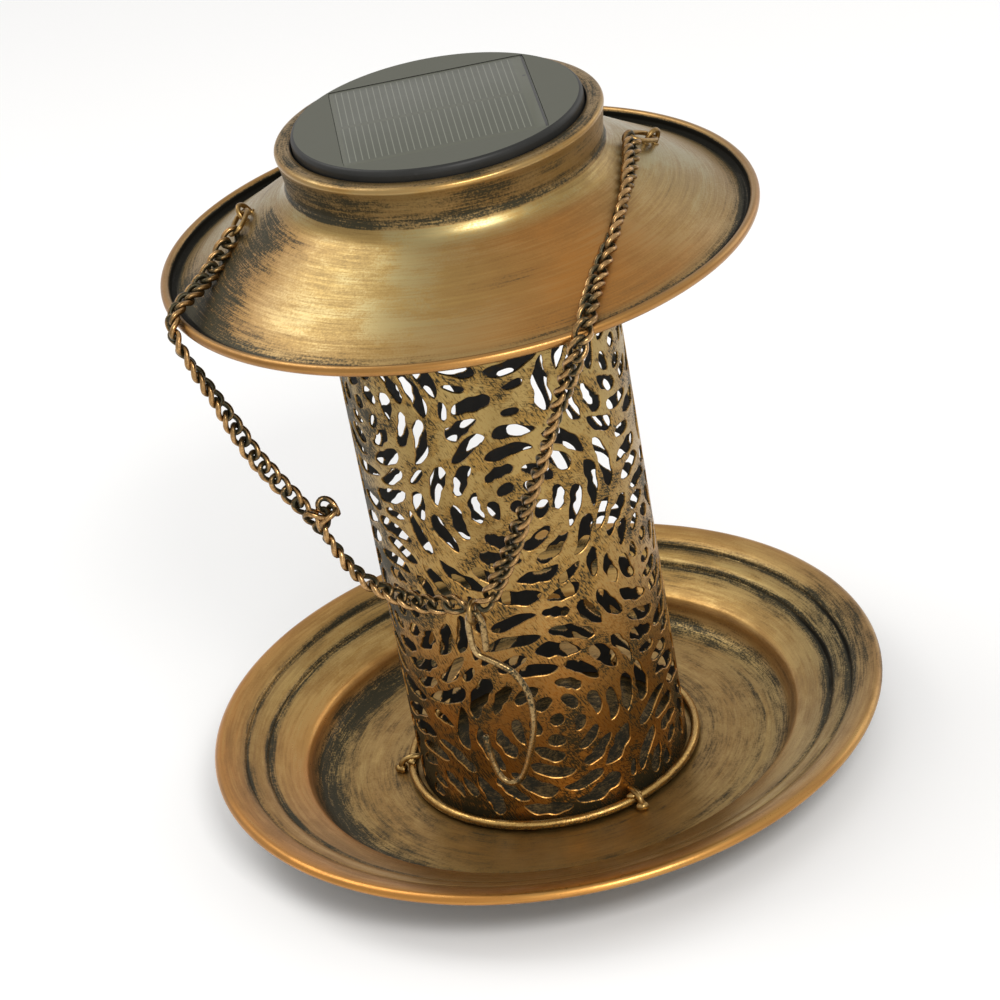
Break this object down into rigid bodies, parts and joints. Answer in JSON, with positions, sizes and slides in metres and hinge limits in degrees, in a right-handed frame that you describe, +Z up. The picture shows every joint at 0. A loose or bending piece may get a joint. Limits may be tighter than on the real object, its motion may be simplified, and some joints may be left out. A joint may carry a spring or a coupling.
{
  "type": "solar hanging bird feeder",
  "caption": "Solar lantern bird feeder: round seed tray, perforated metal tube, flared roof with a lift-out solar light, hanging chain and S-hook.",
  "frame": {"origin": "on the lantern's axis, at the tray's flat underside", "axes": "+Z up along the lantern axis, -Y towards the side where the chain hangs, +X to its right"},
  "size_m": [0.22, 0.22, 0.2287],
  "materials": {
    "bronze": "antique bronze dry-brushed over black, satin",
    "dark_wire": "dark antique bronze plated wire",
    "chain": "dark antique bronze plated curb chain",
    "black_plastic": "moulded, satin",
    "solar_cell": "dark laminated cells under clear resin",
    "rubber": "matt",
    "steel": "plated",
    "battery_wrap": "plain shrink sleeve",
    "board": "solder mask",
    "led_epoxy": "clear epoxy",
    "clear_plastic": "frosted dome"
  },
  "bodies": {
    "lantern": {"tray": "bronze", "perforated_tube": "bronze", "base_ring": "bronze", "top_ring": "dark_wire", "ring_lug_1": "bronze", "ring_lug_2": "bronze", "ring_lug_3": "bronze", "roof": "bronze", "chain_eye_left": "dark_wire", "chain_eye_right": "dark_wire", "jump_ring_left": "dark_wire", "jump_ring_right": "dark_wire", "chain_left": "chain", "chain_right": "chain", "centre_ring": "dark_wire"},
    "solar_light": {"solar_housing": "black_plastic", "pv_panel": "solar_cell", "flange_gasket": "rubber", "bottom_cover": "black_plastic", "cover_screw_1": "steel", "cover_screw_2": "steel", "cover_screw_3": "steel", "battery_box": "black_plastic", "battery": "battery_wrap", "battery_spring": "steel", "battery_contact": "steel", "circuit_board": "board", "led": "led_epoxy", "led_lens": "clear_plastic", "switch_body": "steel"},
    "battery_lid": {"battery_door": "black_plastic"},
    "switch_slider": {"switch_knob": "black_plastic"},
    "hook": {"s_hook": "dark_wire"}
  },
  "joints": [
    {"name": "solar_light_lift", "type": "slide", "parent": "lantern", "child": "solar_light", "axis": [0, 0, 1], "range_m": [0, 0.045]},
    {"name": "battery_door_hinge", "type": "hinge", "parent": "solar_light", "child": "battery_lid", "pos_m": [-0.0274, 0.012, 0.198], "axis": [0, 1, 0], "range_deg": [0, 100]},
    {"name": "switch_slide", "type": "slide", "parent": "solar_light", "child": "switch_slider", "axis": [1, 0, 0], "range_m": [0, 0.003]},
    {"name": "hook_swing", "type": "hinge", "parent": "lantern", "child": "hook", "pos_m": [-0.01633, -0.06857, 0.0943], "axis": [-0.4321, -0.9018, 0], "range_deg": [-60, 60]}
  ]
}
